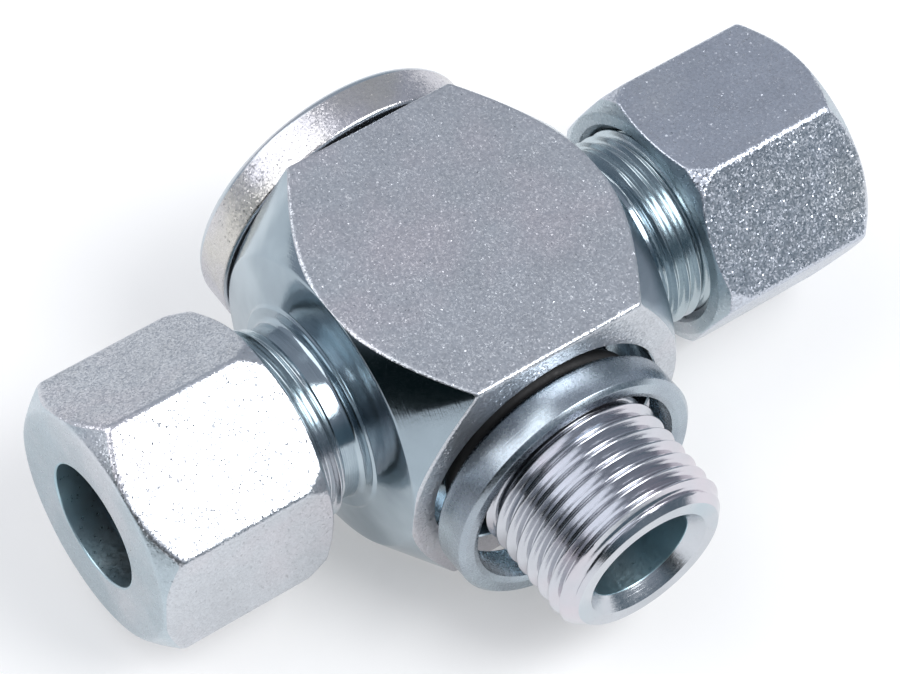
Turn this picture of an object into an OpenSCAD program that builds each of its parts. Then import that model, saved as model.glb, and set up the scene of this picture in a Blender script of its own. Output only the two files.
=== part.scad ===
// Swivel tee compression fitting for hydraulic tube, 24 degree cone type.
//
// A square-bar tee body carries a threaded arm on each side, with a union nut and a cutting
// ring on each arm. A hollow bolt passes through the body at right angles to the arms, and
// the body swivels on it until the bolt is tightened into its port.
//
// Frame: X along the two tube arms, Y along the hollow bolt, Z up. The origin is on the bolt
// axis, in the port plane: one front ring's length in front of the body's front face, which
// is where the port's face lies when the ring is clamped. The bolt's threaded end points
// along -Y, and the arms' axis crosses the bolt's axis at y = cross_y. All lengths are in
// millimetres. Threads are drawn at their outer diameter.

/* [Tee body] */
// Width across the flats of the square bar
bar_af = 34; // [32:0.5:38]
// Distance from the bolt axis to the end of the square bar
bar_end = 16.9; // [16:0.1:17.4]
// Length, along the arm, of the cone turned on the bar's corners
ear_len = 6.8; // [5:0.1:7.5]
// Radius where the bar's shallow end cone meets the arm's groove
collar_r = 11.9; // [11.5:0.1:13]
// Length of the shallow end cone and its collar
collar_len = 1.4; // [0.8:0.1:2]

/* [Tube arms] */
// Outer diameter of the tube that the arms take
tube_d = 14; // [13.8:0.1:14.2]
// Outer diameter of the arm thread
arm_thread_d = 22; // [21.8:0.1:22.2]
// Distance from the bolt axis to the end of an arm
arm_end = 33.5; // [33:0.1:34]
// Depth of the straight tube socket past the cone
socket_len = 7; // [5:0.5:8]
// Diameter of the flow passage
flow_d = 10; // [8:0.5:11]

/* [Union nuts] */
// Width across the flats of the hexagon
nut_af = 27; // [26.5:0.5:29]
// Length of the nut
nut_len = 20.6; // [20:0.1:21]
// Distance the left nut is backed off from its cutting ring's stop
left_back_off = 1.2; // [0.4:0.1:1.5]
// Distance the right nut is backed off from its cutting ring's stop
right_back_off = 2.2; // [1:0.1:2.5]
// Turn of the left nut's flats about the arm
left_nut_angle = 2.5; // [0:0.5:60]
// Turn of the right nut's flats about the arm
right_nut_angle = 22.8; // [0:0.1:60]

/* [Hollow bolt] */
// Outer diameter of the stud thread
stud_d = 20.955; // [20.5:0.005:21]
// Distance from the port plane to the stud's tip
stud_len = 13.2; // [12:0.1:14]
// Diameter of the plain shank in the body
shank_d = 22; // [21.5:0.1:22.5]
// Diameter of the round head
head_d = 34.36; // [32:0.02:36]
// Thickness of the head
head_t = 5.26; // [4:0.02:6]
// Clear gap between the body's back face and the head
head_gap = 0.5; // [0.5:0.1:2]
// Diameter of the bore up the bolt
bolt_bore_d = 12; // [10:0.5:13]
// Width across the flats of the hexagon socket in the head
key_af = 12; // [10:1:14]
// Depth of the hexagon socket
key_depth = 7; // [5:0.5:8]

/* [Rings and seals] */
// Outer diameter of the front retaining ring
front_ring_d = 29.7; // [29:0.1:30]
// Bore of the front retaining ring
front_ring_bore_d = 25.1; // [25:0.1:25.4]
// Length of the front retaining ring
front_ring_len = 4.6; // [4:0.1:5]
// Distance the loose front ring hangs below the bolt axis
front_ring_drop = 1.6; // [0:0.1:1.6]
// Lean of the loose front ring, with its top towards the body
front_ring_tilt = 4; // [0:0.5:4]
// Distance that the loose front ring's face stands in front of the port plane
front_ring_out = 1.15; // [1.15:0.05:3]
// Diameter of the counterbore in the body's front and back faces
recess_d = 28.2; // [28:0.1:28.4]
// Depth of those counterbores
recess_depth = 3.4; // [3:0.1:4]
// Bore of the rear retaining ring
rear_ring_bore_d = 25.6; // [25:0.1:26]
// Thickness of the front seal
front_seal_t = 2.4; // [2:0.1:2.4]
// Thickness of the rear seal
rear_seal_t = 1.7; // [1.5:0.1:1.7]

/* [Hidden] */
$fn = 96;

eps = 0.01;
zinc_body = "#b4b8c0";
zinc_nut = "#c2c6ce";
zinc_turned = "#c8ccd4";
hard_steel = "#8f9298";
rubber_black = "#1c1c1e";

// Running clearances, on the radius
shank_gap = 0.05;
thread_gap = 0.05;
slip_gap = 0.05;

// Square bar and its turned ends
half_af = bar_af / 2;
bar_corner_r = half_af * sqrt(2);
collar_end = bar_end + collar_len;
relief_r = arm_thread_d / 2 - 1;
relief_end = 20.6;
arm_r = arm_thread_d / 2;
arm_chamfer = 1;
front_face_y = front_ring_len;
cross_y = front_face_y + half_af;
back_face_y = cross_y + half_af;

// Tube connection: a cone of 12 degrees to the axis, then a straight socket
cone_half_angle = 12;
socket_r = tube_d / 2 + slip_gap;
mouth_r = socket_r + 1.1;
cone_len = (mouth_r - socket_r) / tan(cone_half_angle);
socket_end = arm_end - cone_len;
socket_stop = socket_end - socket_len;
flow_r = flow_d / 2;

// Cutting ring, from its nose outwards along the arm
nose_wall = 0.4;
nose_r = socket_r + nose_wall;
ring_cone_len = 4.7;
ring_max_r = nose_r + ring_cone_len * tan(cone_half_angle);
ring_land_end = 7.8;
ring_len = 8.6;
ring_tail_r = ring_max_r - (ring_len - ring_land_end);
// Nose position when the ring is home in the cone, 0.08 short of touching
ring_seat_gap = 0.08;
ring_home = arm_end - (mouth_r - nose_r - ring_seat_gap) / tan(cone_half_angle);

// Union nut, from its inner end outwards along the arm
nut_home = ring_home - 7.4;
nut_bore_r = tube_d / 2 + 0.1;
nut_thread_r = arm_r + thread_gap;
nut_corner_r = nut_af / (2 * cos(30));
nut_face_r = 13.2;
nut_face_angle = 44;
nut_inner_face_r = 13.3;
nut_inner_face_angle = 28;
nut_step_r = 14.7;
nut_bevel_end = 3.3;
nut_mouth_r = 11.9;
nut_thread_end = 14;
nut_push_r = 9.6;
nut_push_gap = 0.1;
nut_bore_start = ring_home + ring_len - nut_home + nut_push_gap + (ring_tail_r - nut_bore_r);

// Hollow bolt, along Y from the port plane
tip_chamfer = 1.55;
bore_mouth_r = 7.3;
bore_mouth_len = 1.5;
bolt_bore_end = cross_y + 6;
drill_point_len = 3;
stud_r = stud_d / 2;
stud_plain_r = 9.2;
stud_start = 0;
shank_r = shank_d / 2;
shank_start = front_face_y + 3.3;
head_y = back_face_y + head_gap;
head_end = head_y + head_t;
head_chamfer = 0.6;
port_groove_r = 8.7;
port_groove_w = 11;
port_hole_r = 3;
port_holes = 4;

// Rings
ring_chamfer = 0.35;
front_ring_chamfer = 0.5;
dish_r = 13.2;
dish_depth = 0.3;
rear_ring_r = recess_d / 2 - slip_gap;
rear_ring_start = back_face_y - recess_depth;
rear_ring_end = head_y - 0.1;

// Places a shape drawn along +Z with its start at the crossing onto one arm: side is 1 or -1
module on_arm(side) {
    translate([0, cross_y, 0]) rotate([0, side * 90, 0]) children();
}

// Places a shape drawn along +Z onto the bolt axis, with its z measured along +Y
module on_bolt() {
    rotate([-90, 0, 0]) children();
}

// Outside of one turned end of the bar, as radius against distance from the crossing
module arm_outline() {
    rotate_extrude()
        polygon([[0, 0], [bar_corner_r + 1, 0], [bar_corner_r + 1, bar_end - ear_len],
                 [bar_corner_r, bar_end - ear_len], [half_af, bar_end],
                 [collar_r, collar_end - 0.3], [collar_r - 0.3, collar_end],
                 [relief_r, collar_end], [relief_r, relief_end],
                 [arm_r - 0.8, relief_end], [arm_r, relief_end + 0.8],
                 [arm_r, arm_end - arm_chamfer], [arm_r - arm_chamfer, arm_end], [0, arm_end]]);
}

// Passage inside one arm, from the flow hole out to the cone mouth
module arm_passage() {
    cylinder(r = flow_r, h = arm_end);
    translate([0, 0, socket_stop]) cylinder(r = socket_r, h = arm_end - socket_stop);
    translate([0, 0, socket_end]) cylinder(r1 = socket_r, r2 = mouth_r, h = cone_len + eps);
}

// Square bar tee with two threaded arms and a cross bore for the bolt
module tee_body() {
    color(zinc_body)
    difference() {
        intersection() {
            union() {
                translate([-bar_end, front_face_y, -half_af]) cube([2 * bar_end, bar_af, bar_af]);
                for (side = [-1, 1]) on_arm(side)
                    translate([0, 0, bar_end - eps])
                        cylinder(r = half_af - 0.2, h = arm_end - bar_end + eps);
            }
            union() for (side = [-1, 1]) on_arm(side) arm_outline();
        }
        for (side = [-1, 1]) on_arm(side) arm_passage();
        on_bolt() translate([0, 0, front_face_y - 1])
            cylinder(r = shank_r + shank_gap, h = bar_af + 2);
        on_bolt() translate([0, 0, front_face_y - 1])
            cylinder(d = recess_d, h = recess_depth + 1);
        on_bolt() translate([0, 0, back_face_y - recess_depth])
            cylinder(d = recess_d, h = recess_depth + 1);
    }
}

// Round head, plain shank with its port groove, and threaded stud with an open bore
module hollow_bolt() {
    groove_from = cross_y - port_groove_w / 2;
    groove_to = cross_y + port_groove_w / 2;
    tip = -stud_len;
    color(zinc_turned)
    difference() {
        on_bolt() rotate_extrude()
            polygon([[0, tip], [stud_r - tip_chamfer, tip], [stud_r, tip + tip_chamfer],
                     [stud_r, stud_start], [stud_plain_r, stud_start + 0.8],
                     [stud_plain_r, shank_start - 0.6], [shank_r - 0.4, shank_start - 0.6],
                     [shank_r, shank_start], [shank_r, groove_from],
                     [port_groove_r, groove_from], [port_groove_r, groove_to],
                     [shank_r, groove_to], [shank_r, head_y], [head_d / 2 - 0.3, head_y],
                     [head_d / 2, head_y + 0.3], [head_d / 2, head_end - head_chamfer],
                     [head_d / 2 - head_chamfer, head_end], [0, head_end]]);
        on_bolt() rotate_extrude()
            polygon([[0, tip - 1], [bore_mouth_r, tip - 1], [bore_mouth_r, tip],
                     [bolt_bore_d / 2, tip + bore_mouth_len], [bolt_bore_d / 2, bolt_bore_end],
                     [0, bolt_bore_end + drill_point_len]]);
        on_bolt() translate([0, 0, head_end - key_depth])
            cylinder(d = key_af / cos(30), h = key_depth + 1, $fn = 6);
        for (i = [0:port_holes - 1])
            translate([0, cross_y, 0]) rotate([0, i * 360 / port_holes, 0])
                cylinder(r = port_hole_r, h = shank_r);
    }
}

// Loose ring that hangs on the stud and is clamped between the body and the port
module front_retaining_ring() {
    r = front_ring_d / 2;
    bore = front_ring_bore_d / 2;
    edge = front_ring_chamfer;
    color(zinc_turned)
    translate([0, -front_ring_out, -front_ring_drop]) rotate([-front_ring_tilt, 0, 0])
        on_bolt() rotate_extrude()
            polygon([[bore, dish_depth], [dish_r, 0], [r - edge, 0], [r, edge],
                     [r, front_ring_len - edge], [r - edge, front_ring_len],
                     [bore + ring_chamfer, front_ring_len],
                     [bore, front_ring_len - ring_chamfer]]);
}

// Ring let into the body's back face, which the bolt's head bears on
module rear_retaining_ring() {
    bore = rear_ring_bore_d / 2;
    color(zinc_turned)
    on_bolt() rotate_extrude()
        polygon([[bore, rear_ring_start], [rear_ring_r, rear_ring_start],
                 [rear_ring_r, rear_ring_end - ring_chamfer],
                 [rear_ring_r - ring_chamfer, rear_ring_end], [bore, rear_ring_end]]);
}

// Round seal of thickness t with inner radius r, at y along the bolt
module o_ring(r, t, y) {
    color(rubber_black)
    on_bolt() translate([0, 0, y]) rotate_extrude()
        translate([r + t / 2, 0]) circle(d = t, $fn = 32);
}

module front_o_ring() {
    o_ring(stud_plain_r + 0.1, front_seal_t, front_face_y + front_seal_t / 2 + 0.1);
}

module rear_o_ring() {
    o_ring(shank_r + 0.05, rear_seal_t, rear_ring_start + rear_seal_t / 2 + 0.1);
}

// Hexagon nut, drawn outwards from its inner end, with both ends turned to a cone
module union_nut() {
    inner_rise = (nut_step_r - nut_inner_face_r) * tan(nut_inner_face_angle);
    outer_rise = (nut_corner_r - nut_face_r) * tan(nut_face_angle);
    color(zinc_nut)
    difference() {
        intersection() {
            cylinder(r = nut_corner_r, h = nut_len, $fn = 6);
            rotate_extrude()
                polygon([[0, 0], [nut_inner_face_r, 0], [nut_step_r, inner_rise],
                         [nut_corner_r + eps, nut_bevel_end],
                         [nut_corner_r + eps, nut_len - outer_rise], [nut_face_r, nut_len],
                         [0, nut_len]]);
        }
        rotate_extrude()
            polygon([[0, -1], [nut_mouth_r, -1], [nut_mouth_r, 0],
                     [nut_thread_r, nut_mouth_r - nut_thread_r],
                     [nut_thread_r, nut_thread_end], [nut_push_r, nut_thread_end],
                     [nut_push_r, nut_bore_start - (nut_push_r - nut_bore_r)],
                     [nut_bore_r, nut_bore_start], [nut_bore_r, nut_len + 1], [0, nut_len + 1]]);
    }
}

// Cutting ring, drawn outwards from its nose
module cutting_ring() {
    color(hard_steel)
    rotate_extrude()
        polygon([[socket_r, 0], [nose_r, 0], [ring_max_r, ring_cone_len],
                 [ring_max_r, ring_land_end], [ring_tail_r, ring_len], [socket_r, ring_len]]);
}

module left_nut() {
    on_arm(-1) translate([0, 0, nut_home + left_back_off])
        rotate([0, 0, left_nut_angle]) union_nut();
}

module left_cutting_ring() {
    on_arm(-1) translate([0, 0, ring_home + left_back_off]) cutting_ring();
}

module right_nut() {
    on_arm(1) translate([0, 0, nut_home + right_back_off])
        rotate([0, 0, right_nut_angle]) union_nut();
}

module right_cutting_ring() {
    on_arm(1) translate([0, 0, ring_home + right_back_off]) cutting_ring();
}

tee_body();
hollow_bolt();
front_retaining_ring();
front_o_ring();
rear_retaining_ring();
rear_o_ring();
left_nut();
left_cutting_ring();
right_nut();
right_cutting_ring();
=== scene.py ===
"""Looks of the swivel tee compression fitting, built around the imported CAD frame.

Shapes are worked out in millimetres about each piece's own turning axis, and placed in the
frame in metres: X along the tube arms, Y along the hollow bolt, Z up.
"""
import math

import bmesh
import bpy
import numpy as np
from mathutils import Matrix, Vector


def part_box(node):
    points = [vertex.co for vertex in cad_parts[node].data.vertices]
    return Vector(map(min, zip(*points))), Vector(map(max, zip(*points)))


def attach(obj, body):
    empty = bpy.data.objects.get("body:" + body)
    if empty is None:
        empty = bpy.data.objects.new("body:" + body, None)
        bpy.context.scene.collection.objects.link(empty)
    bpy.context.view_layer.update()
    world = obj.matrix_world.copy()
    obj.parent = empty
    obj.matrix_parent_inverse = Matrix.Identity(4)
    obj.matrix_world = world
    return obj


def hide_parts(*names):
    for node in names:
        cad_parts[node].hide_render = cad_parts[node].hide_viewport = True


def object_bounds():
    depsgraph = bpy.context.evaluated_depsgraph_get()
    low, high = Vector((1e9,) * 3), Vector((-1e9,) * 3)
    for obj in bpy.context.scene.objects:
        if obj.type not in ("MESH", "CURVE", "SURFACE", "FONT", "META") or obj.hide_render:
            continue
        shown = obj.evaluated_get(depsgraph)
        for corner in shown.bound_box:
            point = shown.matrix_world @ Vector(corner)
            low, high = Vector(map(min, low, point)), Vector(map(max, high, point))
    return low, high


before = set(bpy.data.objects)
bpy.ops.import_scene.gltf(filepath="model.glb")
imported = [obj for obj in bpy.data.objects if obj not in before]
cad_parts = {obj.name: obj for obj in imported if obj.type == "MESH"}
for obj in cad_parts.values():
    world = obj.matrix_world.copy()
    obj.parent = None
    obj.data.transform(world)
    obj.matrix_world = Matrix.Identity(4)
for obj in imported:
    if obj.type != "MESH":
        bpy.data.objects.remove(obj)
cad_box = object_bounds()

MM = 0.001
TAU = 2 * math.pi


def mm(value):
    return value / MM


# Driving dimensions, from the frame, in millimetres
body_low, body_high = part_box("tee_body")
bolt_low, bolt_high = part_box("hollow_bolt")
ring_low, ring_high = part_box("front_retaining_ring")
rear_low, rear_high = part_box("rear_retaining_ring")
left_low, left_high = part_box("left_nut")
right_low, right_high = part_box("right_nut")
front_seal_low, front_seal_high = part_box("front_o_ring")
rear_seal_low, rear_seal_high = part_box("rear_o_ring")

half_af = mm(body_high.z)
cross_y = mm(body_low.y + body_high.y) / 2
front_face_y = mm(body_low.y)
back_face_y = mm(body_high.y)
arm_end = mm(body_high.x)
stud_tip_y = mm(bolt_low.y)
head_end_y = mm(bolt_high.y)
head_r = mm(bolt_high.z)
front_ring_r = mm(ring_high.x)
front_ring_centre = (ring_low + ring_high) / 2
rear_ring_r = mm(rear_high.x)
nut_len = mm(left_high.x - left_low.x)

# Tee body details
BAR_END = 16.9
EAR_LEN = 6.8
SHOULDER_STEP = 0.02
COLLAR_R = 11.9
COLLAR_END = 18.3
RELIEF_R = 10.0
RELIEF_END = 20.6
RELIEF_EDGE = 0.4
ARM_R = 11.0
ARM_ROOT_R = 10.1
ARM_PITCH = 1.5
BAR_EDGE_R = 0.45
EDGE = 0.3
MOUTH_R = 8.15
SOCKET_R = 7.05
SOCKET_END = 28.32
SOCKET_STOP = 21.32
FLOW_R = 5.0
FLOW_END = 4.0
RECESS_R = 14.1
RECESS_DEPTH = 3.4
RECESS_EDGE = 0.15
CUT_PAST = 2.0
CROSS_BORE_R = 11.05

# Nut details
NUT_AF = 27.0
NUT_EDGE_R = 0.8
NUT_FACE_R = 13.2
NUT_FACE_RISE = math.tan(math.radians(44))
NUT_INNER_FACE_R = 13.3
NUT_INNER_FACE_RISE = math.tan(math.radians(28))
NUT_STEP_R = 14.7
NUT_BEVEL_END = 3.3
NUT_MOUTH_R = 11.9
NUT_THREAD_R = 11.05
NUT_THREAD_END = 14.0
NUT_PUSH_R = 9.6
NUT_BORE_R = 7.1
NUT_BORE_START = 16.65
LEFT_NUT_CORNER = math.radians(87.5)
RIGHT_NUT_CORNER = math.radians(112.8)

# Bolt details
STUD_R = 10.4775
STUD_ROOT_R = 9.32
STUD_PITCH = 1.814
STUD_PHASE = 0.5
STUD_UNDERCUT_R = 9.2
TIP_FACE_R = 8.92
THREAD_START_Y = front_face_y - 2.6
SHANK_R = 11.0
SHANK_START_Y = front_face_y + 3.3
SHANK_EDGE = 0.6
BORE_MOUTH_R = 7.3
BORE_MOUTH_DEPTH = 1.5
BORE_R = 6.0
BORE_END_Y = cross_y + 6
DRILL_POINT = 3.0
HEAD_THICKNESS = 5.26
HEAD_FRONT_EDGE = 0.3
HEAD_BACK_EDGE = 0.6
KEY_AF = 12.0
KEY_DEPTH = 7.0
KEY_EDGE = 0.75
PORT_GROOVE_R = 8.7
PORT_GROOVE_HALF = 5.5

# Retaining ring details
RING_BORE_R = 12.55
RING_LEN = 4.6
RING_TILT = math.radians(4)
RING_EDGE = 0.5
RING_BORE_EDGE = 0.35
RING_FACE_R = 13.2
REAR_RING_BORE_R = 12.8
REAR_RING_EDGE = 0.35

# Camera: where it stands round the crossing of the two axes
CAMERA_AZIMUTH = math.radians(-41.22)
CAMERA_ELEVATION = math.radians(55.29)
CAMERA_ROLL = math.radians(6.88)
CAMERA_DISTANCE = 0.4536
CAMERA_LENS = 171.6
CAMERA_AIM = Vector((-0.0005, cross_y * MM - 0.0005, -0.0005))


# ---------------------------------------------------------------- camera

def make_camera():
    """Stands the camera round the crossing of the axes, rolled a little."""
    data = bpy.data.cameras.new("camera")
    data.lens = CAMERA_LENS
    data.sensor_width = 36.0
    data.clip_start = 0.01
    data.clip_end = 20.0
    camera = bpy.data.objects.new("camera", data)
    bpy.context.scene.collection.objects.link(camera)
    az, el = CAMERA_AZIMUTH, CAMERA_ELEVATION
    back = Vector((math.sin(az) * math.cos(el), -math.cos(az) * math.cos(el), math.sin(el)))
    level_right = Vector((math.cos(az), math.sin(az), 0))
    level_up = back.cross(level_right)
    right = level_right * math.cos(CAMERA_ROLL) + level_up * math.sin(CAMERA_ROLL)
    up = back.cross(right)
    turn = Matrix((right, up, back)).transposed().to_4x4()
    camera.matrix_world = Matrix.Translation(CAMERA_AIM + back * CAMERA_DISTANCE) @ turn
    bpy.context.scene.camera = camera


# ---------------------------------------------------------------- shells of revolution

def bolt_place(r, phi, s):
    """A point at radius r, turned by phi, at s along the bolt, as frame metres."""
    return np.stack([r * np.sin(phi), s, r * np.cos(phi)], -1) * MM


def arm_place(r, phi, s):
    """A point about the arms' axis, with s along +X from the crossing."""
    return np.stack([s, cross_y + r * np.cos(phi), r * np.sin(phi)], -1) * MM


def left_place(r, phi, s):
    """A point about the arms' axis, with s measured along -X from the crossing."""
    return np.stack([-s, cross_y + r * np.cos(phi), -r * np.sin(phi)], -1) * MM


# How far a thread's crests and roots are crowned, as a share of its half depth
CREST_CROWN = 0.06


class Shell:
    """Gathers rings and threads about one axis, then makes one closed mesh of them."""

    def __init__(self, phi, place):
        self.phi = np.asarray(phi, float)
        self.place = place
        self.verts = []
        self.faces = []
        self.slots = []

    def _add(self, points):
        start = len(self.verts)
        self.verts.extend(points.tolist())
        return start

    def rows(self, rows):
        """rows is a list of (radius, along, slot), where radius and along are numbers or arrays
        over phi. A radius of 0 closes the shell at its axis."""
        n = len(self.phi)
        starts = []
        for r, s, _ in rows:
            r = np.broadcast_to(np.asarray(r, float), n)
            s = np.broadcast_to(np.asarray(s, float), n)
            starts.append(self._add(self.place(r, self.phi, s)))
        for i in range(len(rows) - 1):
            for j in range(n):
                k = (j + 1) % n
                a, b = starts[i], starts[i + 1]
                self.faces.append((a + j, a + k, b + k, b + j))
                self.slots.append(rows[i][2])

    def thread(self, start, end, root, crest, pitch, cap, slot, steps=20, flat=1.12, phase=0.0):
        """A right-hand thread from start to end, whose rows follow the helix. cap(s) is the
        largest radius allowed at s, which chamfers the thread's two ends. The flanks are
        straight, flat sets how wide the crest and the root between them are, and phase moves
        the thread along by a share of its pitch."""
        n = len(self.phi)
        rise = pitch * np.append(self.phi, self.phi[0] + TAU) / TAU
        count = int(math.ceil((end - start) / pitch * steps)) + 2 * steps
        starts = []
        for k in range(count + 1):
            s = np.clip(start - pitch + k * pitch / steps + rise[:n] - rise[0], start, end)
            wave = (1 - 4 * abs((k / steps + phase) % 1 - 0.5)) * flat
            level = min(max(wave, -1), 1)
            crown = CREST_CROWN * math.cos(math.pi * min(abs(wave) / flat, 1))
            level += crown if wave < 0 else -crown
            level = min(max(level, -1), 1)
            r = np.minimum((root + crest) / 2 + level * (crest - root) / 2, cap(s))
            starts.append(self._add(self.place(r, self.phi, s)))
        for k in range(count):
            for j in range(n):
                a, d = starts[k] + j, starts[k + 1] + j
                if j < n - 1:
                    b, c = a + 1, d + 1
                elif k + 1 + steps <= count:
                    b, c = starts[k + steps], starts[k + 1 + steps]
                else:
                    continue
                self.faces.append((a, b, c, d))
                self.slots.append(slot)

    def build(self, name, materials):
        mesh = bpy.data.meshes.new(name)
        mesh.from_pydata(self.verts, [], self.faces)
        mesh.polygons.foreach_set("material_index", self.slots)
        for material in materials:
            mesh.materials.append(material)
        piece = bpy.data.objects.new(name, mesh)
        bpy.context.scene.collection.objects.link(piece)
        clean(piece)
        mark_sharp(piece)
        return piece


def clean(piece, gap=2e-6):
    """Joins points that lie together, drops empty faces and turns all faces outwards."""
    bm = bmesh.new()
    bm.from_mesh(piece.data)
    bmesh.ops.remove_doubles(bm, verts=bm.verts, dist=gap)
    bmesh.ops.dissolve_degenerate(bm, edges=bm.edges, dist=gap / 2)
    bmesh.ops.recalc_face_normals(bm, faces=bm.faces)
    bm.to_mesh(piece.data)
    bm.free()


def mark_sharp(piece, angle=math.radians(32)):
    """Shades every face smooth, apart from across edges sharper than the angle."""
    bm = bmesh.new()
    bm.from_mesh(piece.data)
    for face in bm.faces:
        face.smooth = True
    for edge in bm.edges:
        edge.smooth = not (edge.is_manifold and edge.calc_face_angle() > angle)
    bm.to_mesh(piece.data)
    bm.free()


def round_angles(count):
    """Evenly spaced angles right round an axis."""
    return np.arange(count) * TAU / count


def polygon_outline(sides, flat_r, edge_r, first_corner, per_flat):
    """Angles and radii of a regular polygon with rounded corners, denser at the corners."""
    half = math.pi / sides
    corner_r = flat_r / math.cos(half)
    centre_r = corner_r - edge_r / math.cos(half)
    reach = flat_r * math.tan(half) - edge_r * math.tan(half)
    phis, radii = [], []
    for i in range(sides):
        corner = first_corner + i * 2 * half
        for t in np.linspace(-half, half, 7):
            x = centre_r + edge_r * math.cos(t)
            y = edge_r * math.sin(t)
            phis.append(corner + math.atan2(y, x))
            radii.append(math.hypot(x, y))
        middle = corner + half
        for t in np.linspace(-1, 1, per_flat):
            y = reach * math.copysign(abs(t) ** 0.8, t) * 0.985
            phis.append(middle + math.atan2(y, flat_r))
            radii.append(math.hypot(y, flat_r))
    return np.array(phis), np.array(radii)


def fillet(before, corner, after, size, steps=4):
    """Rows that round a corner: each point is (radius, along), numbers or arrays over phi."""
    def towards(target):
        dr = np.asarray(target[0] - np.asarray(corner[0]), float)
        ds = np.asarray(target[1] - np.asarray(corner[1]), float)
        length = np.maximum(np.hypot(dr, ds), 1e-6)
        cut = np.minimum(size, length * 0.48) / length
        return corner[0] + dr * cut, corner[1] + ds * cut
    r0, s0 = towards(before)
    r2, s2 = towards(after)
    rows = []
    for t in np.linspace(0, 1, steps + 1):
        a, b, c = (1 - t) ** 2, 2 * t * (1 - t), t ** 2
        rows.append((a * r0 + b * corner[0] + c * r2, a * s0 + b * corner[1] + c * s2))
    return rows


def rounded(points):
    """Rows for a profile of (radius, along, corner rounding, slot of the band that follows)."""
    rows = []
    for i, (r, s, size, slot) in enumerate(points):
        if size == 0 or i in (0, len(points) - 1):
            rows.append((r, s, slot))
            continue
        corner = fillet(points[i - 1], (r, s), points[i + 1], size)
        rows.append((*corner[0], slot))
        rows.extend((*row, slot) for row in corner[1:])
    return rows


def mirrored(rows):
    """The same rows on the other arm, from its end back to the middle, with bands kept."""
    out = []
    for i in range(len(rows) - 1, -1, -1):
        slot = rows[i - 1][2] if i > 0 else rows[0][2]
        out.append((rows[i][0], -np.asarray(rows[i][1]), slot))
    return out


def boolean(piece, cutter):
    """Cuts cutter out of piece and removes the cutter."""
    modifier = piece.modifiers.new("cut", "BOOLEAN")
    modifier.operation = "DIFFERENCE"
    modifier.solver = "EXACT"
    modifier.object = cutter
    bpy.context.view_layer.update()
    graph = bpy.context.evaluated_depsgraph_get()
    mesh = bpy.data.meshes.new_from_object(piece.evaluated_get(graph))
    piece.modifiers.clear()
    piece.data = mesh
    bpy.data.objects.remove(cutter)
    clean(piece, 1e-6)
    mark_sharp(piece)


# ---------------------------------------------------------------- materials

class Nodes:
    """A short way to add and join shader nodes."""

    def __init__(self, name):
        self.material = bpy.data.materials.new(name)
        self.material.use_nodes = True
        self.tree = self.material.node_tree
        self.shader = self.tree.nodes["Principled BSDF"]

    def add(self, kind, inputs=None, **settings):
        node = self.tree.nodes.new(kind)
        for key, value in settings.items():
            setattr(node, key, value)
        for key, value in (inputs or {}).items():
            if isinstance(value, bpy.types.NodeSocket):
                self.tree.links.new(value, node.inputs[key])
            else:
                node.inputs[key].default_value = value
        return node

    def position(self, scale):
        place = self.add("ShaderNodeTexCoord").outputs["Object"]
        return self.add("ShaderNodeVectorMath", {0: place, 1: scale}, operation="MULTIPLY").outputs[0]

    def noise(self, scale, detail=3.0, roughness=0.55, stretch=(1, 1, 1)):
        return self.add("ShaderNodeTexNoise", {"Vector": self.position(stretch), "Scale": scale,
                                               "Detail": detail, "Roughness": roughness}).outputs[0]

    def ramp(self, value, low, high, out_low, out_high):
        return self.add("ShaderNodeMapRange", {"Value": value, "From Min": low, "From Max": high,
                                               "To Min": out_low, "To Max": out_high}).outputs[0]

    def mix_colour(self, factor, a, b):
        node = self.add("ShaderNodeMix", data_type="RGBA")
        colours = [s for s in node.inputs if s.type == "RGBA"]
        self.tree.links.new(factor, node.inputs[0])
        for socket, value in zip(colours, (a, b)):
            if isinstance(value, bpy.types.NodeSocket):
                self.tree.links.new(value, socket)
            else:
                socket.default_value = (*value, 1)
        return [s for s in node.outputs if s.type == "RGBA"][0]

    def bump(self, height, strength, distance, normal=None):
        inputs = {"Height": height, "Strength": strength, "Distance": distance}
        if normal is not None:
            inputs["Normal"] = normal
        return self.add("ShaderNodeBump", inputs).outputs[0]

    def set(self, socket, value):
        if isinstance(value, bpy.types.NodeSocket):
            self.tree.links.new(value, self.shader.inputs[socket])
        else:
            self.shader.inputs[socket].default_value = value


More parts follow.
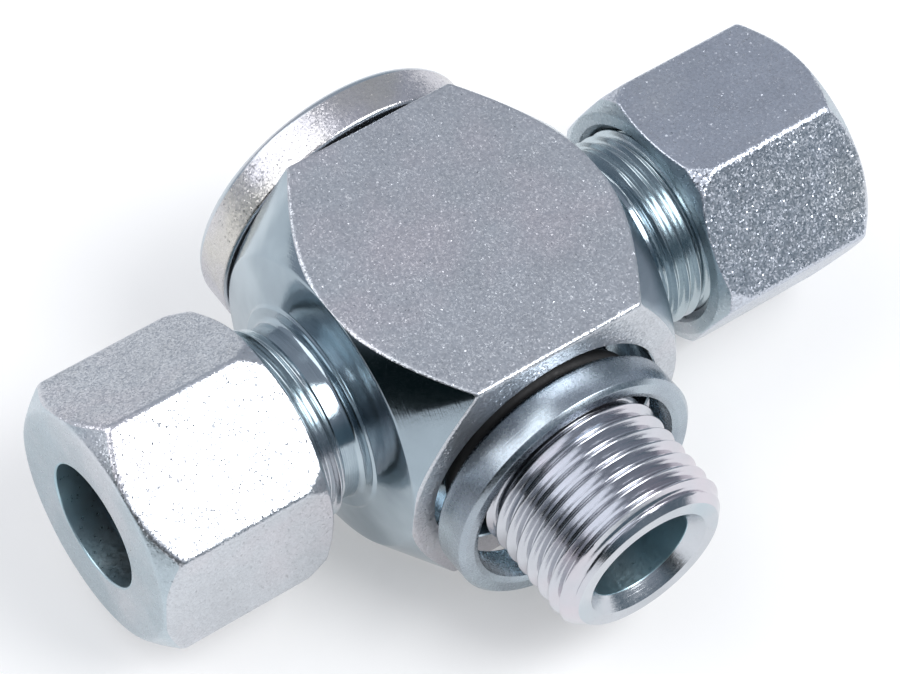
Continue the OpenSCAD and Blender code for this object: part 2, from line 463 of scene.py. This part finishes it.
def zinc(name, base, tint, roughness, grain=0.0, grain_size=0.14, lines=0.0, axis=None):
    """Zinc-plated steel, base in colour with patches of tint. grain tilts each small crystal
    facet, most of them a little and a few a lot, which makes the fine sparkle of a blasted
    flat, and grain_size is a facet's size in mm. lines is the strength of the turning marks
    round the given axis."""
    m = Nodes(name)
    cloud = m.noise(180, 4)
    stain = m.noise(70, 3)
    colour = m.mix_colour(m.ramp(cloud, 0.35, 0.7, 0, 1), base, tuple(c * 0.9 for c in base))
    colour = m.mix_colour(m.ramp(stain, 0.48, 0.66, 0, 1), colour, tint)
    m.set("Metallic", 1.0)
    fine = m.noise(2600, 2)
    m.set("Roughness", m.ramp(fine, 0.25, 0.75, roughness * 0.8, roughness * 1.3))
    normal = m.bump(m.noise(2400, 3), 0.3, 0.00002)
    if lines:
        stretch = {"arm": (9000, 30, 30), "bolt": (30, 9000, 30)}[axis]
        marks = m.noise(1.0, 3, 0.6, stretch)
        normal = m.bump(marks, lines, 0.00002, normal)
    if grain:
        cell = m.add("ShaderNodeTexVoronoi", {"Vector": m.position((1, 1, 1)),
                                              "Scale": 1 / (grain_size * MM), "Randomness": 1.0})
        tilt = m.add("ShaderNodeVectorMath", {0: cell.outputs["Color"], 1: (-0.5, -0.5, -0.5)},
                     operation="ADD").outputs[0]
        reach = m.add("ShaderNodeVectorMath", {0: tilt}, operation="LENGTH").outputs["Value"]
        reach = m.add("ShaderNodeMath", {0: reach, 1: 4.0}, operation="POWER").outputs[0]
        reach = m.ramp(reach, 0.0, 0.45, grain * 0.8, grain * 3.2)
        tilt = m.add("ShaderNodeVectorMath", {0: tilt, "Scale": reach}, operation="SCALE").outputs[0]
        normal = m.add("ShaderNodeVectorMath", {0: normal, 1: tilt}, operation="ADD").outputs[0]
        normal = m.add("ShaderNodeVectorMath", {0: normal}, operation="NORMALIZE").outputs[0]
        shade = m.add("ShaderNodeSeparateColor", {0: cell.outputs["Color"]}).outputs[0]
        shade = m.ramp(shade, 0.0, 1.0, 1.02 - 0.6 * grain, 1.02 + 0.3 * grain)
        colour = m.add("ShaderNodeVectorMath", {0: colour, "Scale": shade}, operation="SCALE").outputs[0]
    m.set("Base Color", colour)
    m.set("Normal", normal)
    return m.material


def rubber():
    """Black nitrile rubber."""
    m = Nodes("seal_rubber")
    m.set("Base Color", m.mix_colour(m.noise(900, 3), (0.012, 0.012, 0.013), (0.035, 0.035, 0.037)))
    m.set("Roughness", m.ramp(m.noise(1800, 2), 0.3, 0.7, 0.5, 0.75))
    m.set("Normal", m.bump(m.noise(2500, 3), 0.4, 0.00004))
    return m.material


# Plating and steel colours
ZINC = (0.59, 0.615, 0.65)
ZINC_WARM = (0.62, 0.61, 0.645)
ZINC_COOL = (0.47, 0.545, 0.59)
ZINC_TEAL = (0.50, 0.575, 0.61)
ZINC_ROSE = (0.575, 0.59, 0.63)
ZINC_PINK = (0.62, 0.575, 0.615)
ZINC_YELLOW = (0.61, 0.59, 0.55)
ZINC_DARK = (0.34, 0.41, 0.46)
ZINC_DEEP = (0.44, 0.60, 0.66)
ZINC_BLUE = (0.57, 0.605, 0.67)
RING_GREY = (0.38, 0.43, 0.48)
HARD_STEEL = (0.42, 0.43, 0.45)
HARD_STEEL_DARK = (0.36, 0.36, 0.40)

body_blasted = zinc("zinc_body_blasted", ZINC, ZINC_WARM, 0.34, grain=0.24, grain_size=0.15)
body_turned = zinc("zinc_body_turned", ZINC_DARK, ZINC_COOL, 0.13, lines=0.4, axis="arm")
left_nut_blasted = zinc("zinc_left_nut", ZINC, ZINC_WARM, 0.33, grain=0.22, grain_size=0.17)
right_nut_blasted = zinc("zinc_right_nut", ZINC_BLUE, ZINC, 0.30, grain=0.28, grain_size=0.18)
nut_turned = zinc("zinc_nut_turned", ZINC_COOL, ZINC, 0.3, grain=0.12, grain_size=0.13)
nut_bore = zinc("zinc_nut_bore", ZINC_DEEP, ZINC_TEAL, 0.32, lines=0.12, axis="arm")
bolt_turned = zinc("zinc_bolt_turned", ZINC, ZINC_COOL, 0.22, lines=0.9, axis="bolt")
bolt_rim = zinc("zinc_bolt_rim", ZINC_WARM, ZINC_YELLOW, 0.28, grain=0.18, grain_size=0.13)
bolt_thread = zinc("zinc_bolt_thread", ZINC_ROSE, ZINC_PINK, 0.18, lines=0.4, axis="bolt")
arm_thread = zinc("zinc_arm_thread", ZINC_TEAL, ZINC_WARM, 0.2, lines=0.3, axis="arm")
bolt_bore = zinc("zinc_bolt_bore", ZINC_DEEP, ZINC_COOL, 0.34, lines=0.3, axis="bolt")
ring_turned = zinc("zinc_ring_turned", RING_GREY, ZINC_COOL, 0.25, lines=0.6, axis="bolt")
cutting_steel = zinc("cutting_steel", HARD_STEEL, HARD_STEEL_DARK, 0.3, lines=0.3, axis="arm")
seal_rubber = rubber()


# ---------------------------------------------------------------- pieces

def make_body():
    """Square bar with turned ends and threaded arms, open right through."""
    phi, square = polygon_outline(4, half_af, BAR_EDGE_R, math.pi / 4, 33)
    slope = EAR_LEN / (half_af * math.sqrt(2) - half_af)
    ear_s = BAR_END - (square - half_af) * slope
    blasted, turned, thread = 0, 1, 2
    flat = (square, ear_s * 0.0)
    shoulder = (half_af - SHOULDER_STEP, BAR_END)
    rows = [(square, ear_s * 0.5, blasted), (square, ear_s - 0.5, blasted)]
    corner = fillet(flat, (square, ear_s), shoulder, EDGE)
    rows.extend((*row, blasted) for row in corner[:-1])
    rows.append((*corner[-1], turned))
    edge = fillet((square, ear_s), shoulder, (COLLAR_R, COLLAR_END - EDGE), 0.25)
    rows.extend((*row, turned) for row in edge)
    step = rounded([(half_af, BAR_END, 0, turned), (COLLAR_R + 2.2, COLLAR_END - 0.75, 1.6, turned),
                    (COLLAR_R, COLLAR_END - EDGE, 0.12, turned),
                    (COLLAR_R - EDGE, COLLAR_END, 0.1, turned),
                    (RELIEF_R + RELIEF_EDGE, COLLAR_END, 0.3, turned),
                    (RELIEF_R, COLLAR_END + RELIEF_EDGE, 0.3, turned),
                    (RELIEF_R, RELIEF_END, 0, turned)])
    rows.extend(step[1:])
    shell = Shell(phi, arm_place)
    shell.rows(mirrored(rows) + rows)

    def cap(s):
        s = np.abs(s)
        return np.minimum(RELIEF_R + (s - RELIEF_END), RELIEF_R + (arm_end - s))

    for low, high in ((-arm_end, -RELIEF_END), (RELIEF_END, arm_end)):
        shell.thread(low, high, ARM_ROOT_R, ARM_R, ARM_PITCH, cap, thread)
    inside = rounded([(RELIEF_R, arm_end, 0, turned), (MOUTH_R, arm_end, 0.1, turned),
                      (SOCKET_R, SOCKET_END, 0, turned), (SOCKET_R, SOCKET_STOP, 0, turned),
                      (FLOW_R, SOCKET_STOP, 0, turned), (FLOW_R, FLOW_END, 0, turned)])
    shell.rows(inside + mirrored(inside))
    piece = shell.build("tee_body_shell", [body_blasted, body_turned, arm_thread])
    cut = Shell(round_angles(160), bolt_place)
    rim, past = RECESS_EDGE, CUT_PAST
    profile = [(0, front_face_y - past, 0, turned),
               (RECESS_R + rim + past, front_face_y - past, 0, turned),
               (RECESS_R + rim, front_face_y, 0, turned), (RECESS_R, front_face_y + rim, 0, turned),
               (RECESS_R, front_face_y + RECESS_DEPTH, 0, turned),
               (CROSS_BORE_R, front_face_y + RECESS_DEPTH, 0, turned),
               (CROSS_BORE_R, back_face_y - RECESS_DEPTH, 0, turned),
               (RECESS_R, back_face_y - RECESS_DEPTH, 0, turned),
               (RECESS_R, back_face_y - rim, 0, turned), (RECESS_R + rim, back_face_y, 0, turned),
               (RECESS_R + rim + past, back_face_y + past, 0, turned),
               (0, back_face_y + past, 0, turned)]
    cut.rows(rounded(profile))
    boolean(piece, cut.build("body_cutter", [body_blasted, body_turned]))
    return piece


def make_bolt():
    """Round head with a hexagon socket, shank with its port groove, threaded open stud. The
    socket's mouth is chamfered."""
    turned, thread, inside, rim = 0, 1, 2, 3
    head_y = head_end_y - HEAD_THICKNESS
    groove_from, groove_to = cross_y - PORT_GROOVE_HALF, cross_y + PORT_GROOVE_HALF
    shell = Shell(round_angles(180), bolt_place)

    def cap(s):
        return np.minimum(STUD_UNDERCUT_R + (THREAD_START_Y - s), TIP_FACE_R + (s - stud_tip_y))

    shell.thread(stud_tip_y, THREAD_START_Y, STUD_ROOT_R, STUD_R, STUD_PITCH, cap, thread,
                 phase=STUD_PHASE)
    profile = [(STUD_UNDERCUT_R, THREAD_START_Y, 0, turned),
               (STUD_UNDERCUT_R, SHANK_START_Y - SHANK_EDGE, 0.3, turned),
               (SHANK_R - 0.4, SHANK_START_Y - SHANK_EDGE, 0.1, turned),
               (SHANK_R, SHANK_START_Y, 0.1, turned),
               (SHANK_R, groove_from, 0.1, turned), (PORT_GROOVE_R, groove_from, 0.2, turned),
               (PORT_GROOVE_R, groove_to, 0.2, turned), (SHANK_R, groove_to, 0.1, turned),
               (SHANK_R, head_y, 0.15, turned), (head_r - HEAD_FRONT_EDGE, head_y, 0.15, turned),
               (head_r, head_y + HEAD_FRONT_EDGE, 0.15, rim),
               (head_r, head_end_y - HEAD_BACK_EDGE, 0.35, turned),
               (head_r - HEAD_BACK_EDGE, head_end_y, 0.35, turned), (0, head_end_y, 0, turned)]
    shell.rows(rounded(profile))
    bore = [(TIP_FACE_R, stud_tip_y, 0, turned), (BORE_MOUTH_R, stud_tip_y, 0.08, turned),
            (BORE_R, stud_tip_y + BORE_MOUTH_DEPTH, 0.08, inside), (BORE_R, BORE_END_Y, 0, inside),
            (0, BORE_END_Y + DRILL_POINT, 0, inside)]
    shell.rows(rounded(bore))
    piece = shell.build("hollow_bolt_shell", [bolt_turned, bolt_thread, bolt_bore, bolt_rim])

    hexagon = Shell(math.pi / 6 + round_angles(6), bolt_place)
    corner_r = KEY_AF / 2 / math.cos(math.pi / 6)
    hexagon.rows([(0, head_end_y - KEY_DEPTH, turned), (corner_r, head_end_y - KEY_DEPTH, turned),
                  (corner_r, head_end_y + 1, turned), (0, head_end_y + 1, turned)])
    boolean(piece, hexagon.build("key_cutter", [bolt_turned]))
    chamfer = Shell(round_angles(96), bolt_place)
    chamfer.rows([(0, head_end_y - 1.0, turned), (corner_r - KEY_EDGE, head_end_y - 1.0, turned),
                  (corner_r - KEY_EDGE + 1.35, head_end_y + 0.35, turned),
                  (0, head_end_y + 0.35, turned)])
    boolean(piece, chamfer.build("key_chamfer", [bolt_turned]))
    return piece


def make_front_ring():
    """The loose ring, leaning on the stud, turned about its own middle."""
    bore, r, half, edge = RING_BORE_R, front_ring_r, RING_LEN / 2, RING_BORE_EDGE
    shell = Shell(round_angles(200), bolt_place)
    shell.rows(rounded([(bore, 0, 0, 0), (bore, -half + 0.3, 0.06, 0),
                        (RING_FACE_R, -half, 0.08, 0), (r - RING_EDGE, -half, 0.07, 0),
                        (r, -half + RING_EDGE, 0.1, 0), (r, half - RING_EDGE, 0.1, 0),
                        (r - RING_EDGE, half, 0.07, 0), (bore + edge, half, 0.1, 0),
                        (bore, half - edge, 0.1, 0), (bore, 0, 0, 0)]))
    piece = shell.build("front_ring_shell", [ring_turned])
    turn = Matrix.Rotation(-RING_TILT, 4, "X")
    piece.data.transform(Matrix.Translation(front_ring_centre) @ turn)
    return piece


def make_rear_ring():
    """The ring let into the body's back face, under the bolt's head."""
    bore, r, edge = REAR_RING_BORE_R, rear_ring_r, REAR_RING_EDGE
    start, end = mm(rear_low.y), mm(rear_high.y)
    shell = Shell(round_angles(160), bolt_place)
    shell.rows(rounded([(bore, start + 1, 0, 0), (bore, start, 0.15, 0), (r, start, 0.15, 0),
                        (r, end - edge, 0.15, 0), (r - edge, end, 0.15, 0),
                        (bore, end, 0.15, 0), (bore, start + 1, 0, 0)]))
    return shell.build("rear_ring_shell", [ring_turned])


def make_seal(name, low, high):
    """A round rubber ring between the corners of its CAD box."""
    t = mm(high.y - low.y)
    centre_r = mm(high.x) - t / 2
    centre_y = mm(low.y + high.y) / 2
    shell = Shell(round_angles(120), bolt_place)
    shell.rows([(centre_r + t / 2 * math.cos(a), centre_y + t / 2 * math.sin(a), 0)
                for a in np.linspace(0, TAU, 25)])
    return shell.build(name, [seal_rubber])


def make_nut(name, place, inner_end, first_corner, surface):
    """Hexagon nut with chamfered ends, drawn outwards from its inner end."""
    phi, hexagon = polygon_outline(6, NUT_AF / 2, NUT_EDGE_R, first_corner, 21)
    blasted, turned, thread, inside = 0, 1, 2, 3
    step_r = np.minimum(hexagon, NUT_STEP_R)
    step_s = (step_r - NUT_INNER_FACE_R) * NUT_INNER_FACE_RISE
    corner_r = NUT_AF / 2 / math.cos(math.pi / 6)
    bevel = (hexagon - NUT_STEP_R) / (corner_r - NUT_STEP_R)
    inner_s = np.maximum(step_s + 0.4, step_s + bevel * (NUT_BEVEL_END - step_s))
    outer_s = nut_len - (hexagon - NUT_FACE_R) * NUT_FACE_RISE
    shell = Shell(phi, place)

    def at(points):
        return [(r, s + inner_end, slot) for r, s, slot in points]

    face = fillet((NUT_MOUTH_R, 0.0), (NUT_INNER_FACE_R, 0.0), (step_r, step_s), 0.1)
    rows = [(NUT_MOUTH_R, 0.0, turned)] + [(*row, turned) for row in face]
    edge = fillet((NUT_INNER_FACE_R, 0.0), (step_r, step_s), (hexagon, inner_s), 0.15)
    rows += [(*row, blasted) for row in edge]
    edge = fillet((step_r, step_s), (hexagon, inner_s), (hexagon, outer_s), 0.5)
    rows += [(*row, blasted) for row in edge]
    rows += [(hexagon, inner_s + 0.8, blasted), (hexagon, outer_s - 0.8, blasted)]
    edge = fillet((hexagon, inner_s), (hexagon, outer_s), (NUT_FACE_R, nut_len), 0.45)
    rows += [(*row, blasted) for row in edge[:-1]] + [(*edge[-1], turned)]
    face = fillet((hexagon, outer_s), (NUT_FACE_R, nut_len), (NUT_BORE_R, nut_len), 0.35)
    rows += [(*row, turned) for row in face]
    rows += rounded([(NUT_FACE_R - 1, nut_len, 0, turned), (NUT_BORE_R, nut_len, 0.22, inside),
                     (NUT_BORE_R, NUT_BORE_START, 0.1, inside),
                     (NUT_PUSH_R, NUT_BORE_START - (NUT_PUSH_R - NUT_BORE_R), 0, turned),
                     (NUT_PUSH_R, NUT_THREAD_END, 0, turned), (NUT_THREAD_R, NUT_THREAD_END, 0, thread),
                     (NUT_THREAD_R, NUT_MOUTH_R - NUT_THREAD_R, 0.05, turned),
                     (NUT_MOUTH_R, 0.0, 0, turned)])
    shell.rows(at(rows))
    return shell.build(name, [surface, nut_turned, arm_thread, nut_bore])


def place_piece(piece, body, node):
    """Rides a piece on its body, in place of its CAD node."""
    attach(piece, body)
    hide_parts(node)


# The camera, then each piece on its body; the cutting rings keep their CAD shape
make_camera()
place_piece(make_body(), "root", "tee_body")
place_piece(make_bolt(), "bolt", "hollow_bolt")
place_piece(make_front_ring(), "front_ring", "front_retaining_ring")
place_piece(make_rear_ring(), "root", "rear_retaining_ring")
place_piece(make_seal("front_seal", front_seal_low, front_seal_high), "bolt", "front_o_ring")
place_piece(make_seal("rear_seal", rear_seal_low, rear_seal_high), "bolt", "rear_o_ring")
place_piece(make_nut("left_nut_shell", left_place, -mm(left_high.x), -LEFT_NUT_CORNER,
                     left_nut_blasted),
            "left_nut", "left_nut")
place_piece(make_nut("right_nut_shell", arm_place, mm(right_low.x), RIGHT_NUT_CORNER,
                     right_nut_blasted),
            "right_nut", "right_nut")
for node in ("left_cutting_ring", "right_cutting_ring"):
    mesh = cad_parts[node].data
    mesh.materials.clear()
    mesh.materials.append(cutting_steel)


# ---------------------------------------------------------------- floor and light

# The light table, and the tent's colours: DARK_PATCH is the heading of its dark side
FLOOR_COLOUR = (0.6, 0.6, 0.6)
FLOOR_GLOW = 0.36
FLOOR_HALF_SIZE = 3.0
FRONT_SKY = (0.10, 0.15, 0.19)
BACK_SKY = (0.44, 0.475, 0.54)
TOP_SKY = (0.43, 0.455, 0.52)
DARK_SKY = (0.004, 0.010, 0.011)
DARK_PATCH = (-64, 0)
LIGHT_AIM = Vector((0, 0.024, 0))


def make_floor():
    """A pale light table, so the shadows stay faint."""
    m = Nodes("floor")
    m.set("Base Color", (*FLOOR_COLOUR, 1))
    m.set("Roughness", 0.85)
    m.set("Emission Color", (1.0, 1.0, 1.0, 1))
    m.set("Emission Strength", FLOOR_GLOW)
    mesh = bpy.data.meshes.new("floor")
    size, level = FLOOR_HALF_SIZE, cad_box[0][2]
    mesh.from_pydata([(-size, -size, level), (size, -size, level), (size, size, level),
                      (-size, size, level)], [], [(0, 1, 2, 3)])
    mesh.materials.append(m.material)
    floor = bpy.data.objects.new("floor", mesh)
    bpy.context.scene.collection.objects.link(floor)


def heading(azimuth, elevation):
    """A unit vector: azimuth 0 is the front, -Y, and it grows towards +X."""
    az, el = math.radians(azimuth), math.radians(elevation)
    return Vector((math.sin(az) * math.cos(el), -math.cos(az) * math.cos(el), math.sin(el)))


def softbox(name, azimuth, elevation, distance, size, power):
    """An area light standing at an angle round the part and facing it."""
    data = bpy.data.lights.new(name, "AREA")
    data.shape = "RECTANGLE"
    data.size, data.size_y = size
    data.energy = power
    lamp = bpy.data.objects.new(name, data)
    bpy.context.scene.collection.objects.link(lamp)
    back = heading(azimuth, elevation)
    turn = back.to_track_quat("Z", "Y").to_matrix().to_4x4()
    lamp.matrix_world = Matrix.Translation(LIGHT_AIM + back * distance) @ turn


def make_world():
    """A soft tent: lighter overhead and behind, darker in front and at the left."""
    world = bpy.data.worlds.new("studio")
    bpy.context.scene.world = world
    world.use_nodes = True
    tree = world.node_tree
    shader = tree.nodes["Background"]

    def add(kind, inputs, **settings):
        node = tree.nodes.new(kind)
        for key, value in settings.items():
            setattr(node, key, value)
        for key, value in inputs.items():
            if isinstance(value, bpy.types.NodeSocket):
                tree.links.new(value, node.inputs[key])
            else:
                node.inputs[key].default_value = value
        return node

    def towards(azimuth, elevation, low, high):
        """0 to 1 as the direction comes within reach of a heading."""
        dot = add("ShaderNodeVectorMath", {0: direction, 1: heading(azimuth, elevation)},
                  operation="DOT_PRODUCT").outputs["Value"]
        return add("ShaderNodeMapRange", {"Value": dot, "From Min": low, "From Max": high},
                   interpolation_type="SMOOTHSTEP").outputs[0]

    def blend(factor, a, b):
        node = add("ShaderNodeMix", {0: factor}, data_type="RGBA")
        colours = [s for s in node.inputs if s.type == "RGBA"]
        for socket, value in zip(colours, (a, b)):
            if isinstance(value, bpy.types.NodeSocket):
                tree.links.new(value, socket)
            else:
                socket.default_value = (*value, 1)
        return [s for s in node.outputs if s.type == "RGBA"][0]

    direction = add("ShaderNodeTexCoord", {}).outputs["Generated"]
    colour = blend(towards(180, 0, -0.9, 0.8), FRONT_SKY, BACK_SKY)
    colour = blend(towards(0, 90, 0.25, 0.8), colour, TOP_SKY)
    colour = blend(towards(*DARK_PATCH, 0.55, 0.88), colour, DARK_SKY)
    tree.links.new(colour, shader.inputs["Color"])


bpy.context.scene.view_settings.view_transform = "Standard"
make_floor()
make_world()
softbox("key", 41, 55, 0.9, (0.5, 0.5), 6.5)
softbox("fill", -130, 50, 1.0, (0.9, 0.9), 5)


def write_sizes():
    """Brings the view layer up to date."""
    bpy.context.view_layer.update()


write_sizes()
